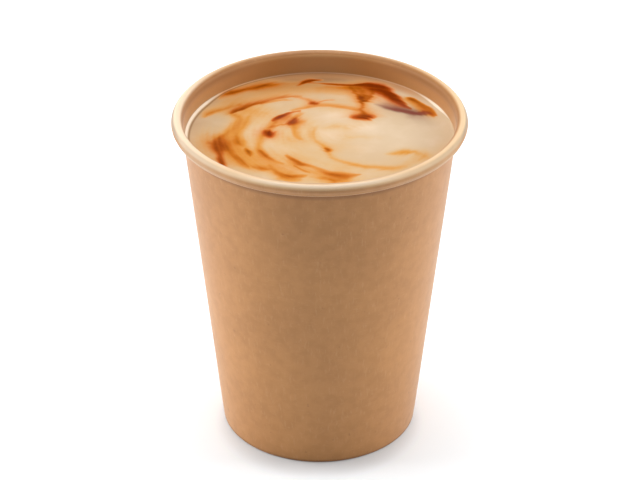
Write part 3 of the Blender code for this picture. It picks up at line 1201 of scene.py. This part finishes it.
def soft_box(name, place, size, watts):
    """An area light that faces the cup and that the camera doesn't see."""
    light = bpy.data.lights.new(name, "AREA")
    light.shape = "RECTANGLE"
    light.size, light.size_y = size
    light.energy = watts
    item = bpy.data.objects.new(name, light)
    item.location = place
    item.rotation_euler = (Vector(place) - CUP_MIDDLE).to_track_quat("Z", "Y").to_euler()
    item.visible_camera = False
    bpy.context.scene.collection.objects.link(item)


def overhead_light(power):
    """Wide soft light from above, tilted a little."""
    light = bpy.data.lights.new("overhead", "SUN")
    light.energy = power
    light.angle = OVERHEAD_ANGLE
    item = bpy.data.objects.new("overhead", light)
    item.rotation_euler = (OVERHEAD_TILT, 0.0, 0.0)
    bpy.context.scene.collection.objects.link(item)


def make_floor():
    """A white floor that ends short of the soft boxes, a little darker close round the foot: a painted
    contact shadow.
    """
    bpy.ops.mesh.primitive_plane_add(size=FLOOR_SIZE)
    floor = bpy.context.object
    floor.name = "floor"
    material, nodes, shader = new_material(
        "floor", WHITE, Roughness=0.9, Emission_Color=WHITE, Emission_Strength=0.06
    )
    place = nodes.place()
    across, along, _ = nodes.parts(place)
    tone = nodes.mix(nodes.clouds(place, *FLOOR_CLOUDS), *FLOOR_TONES)
    close = nodes.reach(across, along + CONTACT_FORWARD).step(*CONTACT_FADE)
    nodes.feed(shader, Base_Color=nodes.mix(close, tone, CONTACT_SHADOW_TONE))
    floor.data.materials.append(material)


def make_room(scene, power):
    """Even white light, with plain white behind."""
    world = bpy.data.worlds.new("room")
    world.use_nodes = True
    scene.world = world
    nodes = Nodes(world.node_tree)
    seen = nodes.add("ShaderNodeLightPath")
    background = world.node_tree.nodes["Background"]
    background.inputs["Color"].default_value = WHITE
    nodes.feed(background, Strength=power + (BACKGROUND - power) * seen)


def place_camera(scene, stage):
    """Camera in front and above, on a long lens."""
    data = bpy.data.cameras.new("camera")
    data.lens = stage.lens
    data.clip_start = NEAREST_SEEN
    camera = bpy.data.objects.new("camera", data)
    scene.collection.objects.link(camera)
    back = Vector((0.0, -math.cos(stage.elevation), math.sin(stage.elevation)))
    aim = Vector((stage.aim_side, 0.0, stage.aim_height))
    camera.location = aim + back * stage.distance
    turn = (-back).to_track_quat("-Z", "Y") @ Quaternion((0.0, 0.0, 1.0), stage.roll)
    camera.rotation_euler = turn.to_euler()
    scene.camera = camera


# ---------------- operators


class DressCup(bpy.types.Operator):
    """Turn the paper wall with its rolled rim and folded foot, and add the glued lap"""

    bl_idname = "milk_tea.dress_cup"
    bl_label = "Paper wall"

    def execute(self, context):
        """Build the wall and the lap."""
        cup = context.scene.milk_tea_cup
        form = CupForm(cup)
        kraft = kraft_material("kraft_paper", cup, WHITE)
        stray = {"wander": cup.wander, "wander_size": cup.wander_size}
        wall = turned("cup_shell", form.wall(), kraft, cup.segments, **stray)
        thicken(wall, cup.paper)
        freeze(wall)
        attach(wall, BODY)
        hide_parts("cup_wall")

        top = WALL_HIGH.z - 2 * cup.roll_half_height - LAP_CLEARANCE
        outline = form.straight(top, LAP_BOTTOM, (cup.lap_step - LAP_ROOT) / 2, LAP_ROWS)
        sweep = cup.lap_width / form.outer(WALL_HIGH.z / 2)
        lap = turned("glued_lap", outline, kraft, LAP_SEGMENTS, LAP_FACING, sweep, **stray)
        thicken(lap, cup.lap_step + LAP_ROOT)
        freeze(lap)
        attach(lap, BODY)
        return {"FINISHED"}


class DressBase(bpy.types.Operator):
    """Give the raised base its paper"""

    bl_idname = "milk_tea.dress_base"
    bl_label = "Base"

    def execute(self, context):
        """Set the base's material."""
        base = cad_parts["cup_base"]
        cup = context.scene.milk_tea_cup
        base.data.materials[0] = kraft_material("kraft_base", cup, cup.base_shade)
        return {"FINISHED"}


class PourDrink(bpy.types.Operator):
    """Fill the cup with milk tea and lay the syrup on it"""

    bl_idname = "milk_tea.pour_drink"
    bl_label = "Milk tea"

    def execute(self, context):
        """Build the drink."""
        drink = context.scene.milk_tea_drink
        form = CupForm(context.scene.milk_tea_cup)
        material = drink_material(drink, form.inner(TEA_HIGH.z))
        tea = turned("milk_tea_fill", drink_outline(drink, form), material, drink.segments)
        freeze(tea)
        paint_drink(tea.data)
        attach(tea, BODY)
        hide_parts("milk_tea")
        return {"FINISHED"}


class SetStage(bpy.types.Operator):
    """Add the floor, the light and the camera"""

    bl_idname = "milk_tea.set_stage"
    bl_label = "Stage"

    def execute(self, context):
        """Build the stage."""
        stage = context.scene.milk_tea_stage
        context.scene.view_settings.view_transform = "Standard"
        make_floor()
        make_room(context.scene, stage.room)
        overhead_light(stage.overhead)
        for name, (setting, place, size) in SOFT_BOXES.items():
            soft_box(name, place, size, getattr(stage, setting))
        place_camera(context.scene, stage)
        return {"FINISHED"}


OPERATORS = (DressCup, DressBase, PourDrink, SetStage)
SETTINGS = {
    "milk_tea_cup": CupSettings,
    "milk_tea_drink": DrinkSettings,
    "milk_tea_stage": StageSettings,
}


class MilkTeaPanel(bpy.types.Panel):
    """Sizes, colours and buttons for the filled cup."""

    bl_idname = "VIEW3D_PT_milk_tea"
    bl_label = "Brown sugar milk tea"
    bl_space_type = "VIEW_3D"
    bl_region_type = "UI"
    bl_category = "Milk tea"

    def draw(self, context):
        """List the operators and the settings."""
        for operator in OPERATORS:
            self.layout.operator(operator.bl_idname)
        for name, group in SETTINGS.items():
            box = self.layout.box()
            for setting in group.__annotations__:
                box.prop(getattr(context.scene, name), setting)


def register():
    """Add the classes and the scene's settings."""
    for item in (*SETTINGS.values(), *OPERATORS, MilkTeaPanel):
        bpy.utils.register_class(item)
    for name, group in SETTINGS.items():
        setattr(bpy.types.Scene, name, bpy.props.PointerProperty(type=group))


def unregister():
    """Take them away again."""
    for name in SETTINGS:
        delattr(bpy.types.Scene, name)
    for item in (MilkTeaPanel, *OPERATORS, *SETTINGS.values()):
        bpy.utils.unregister_class(item)


def main():
    """Dress the cup."""
    register()
    bpy.ops.milk_tea.dress_cup()
    bpy.ops.milk_tea.dress_base()
    bpy.ops.milk_tea.pour_drink()
    bpy.ops.milk_tea.set_stage()


if __name__ == "__main__":
    main()
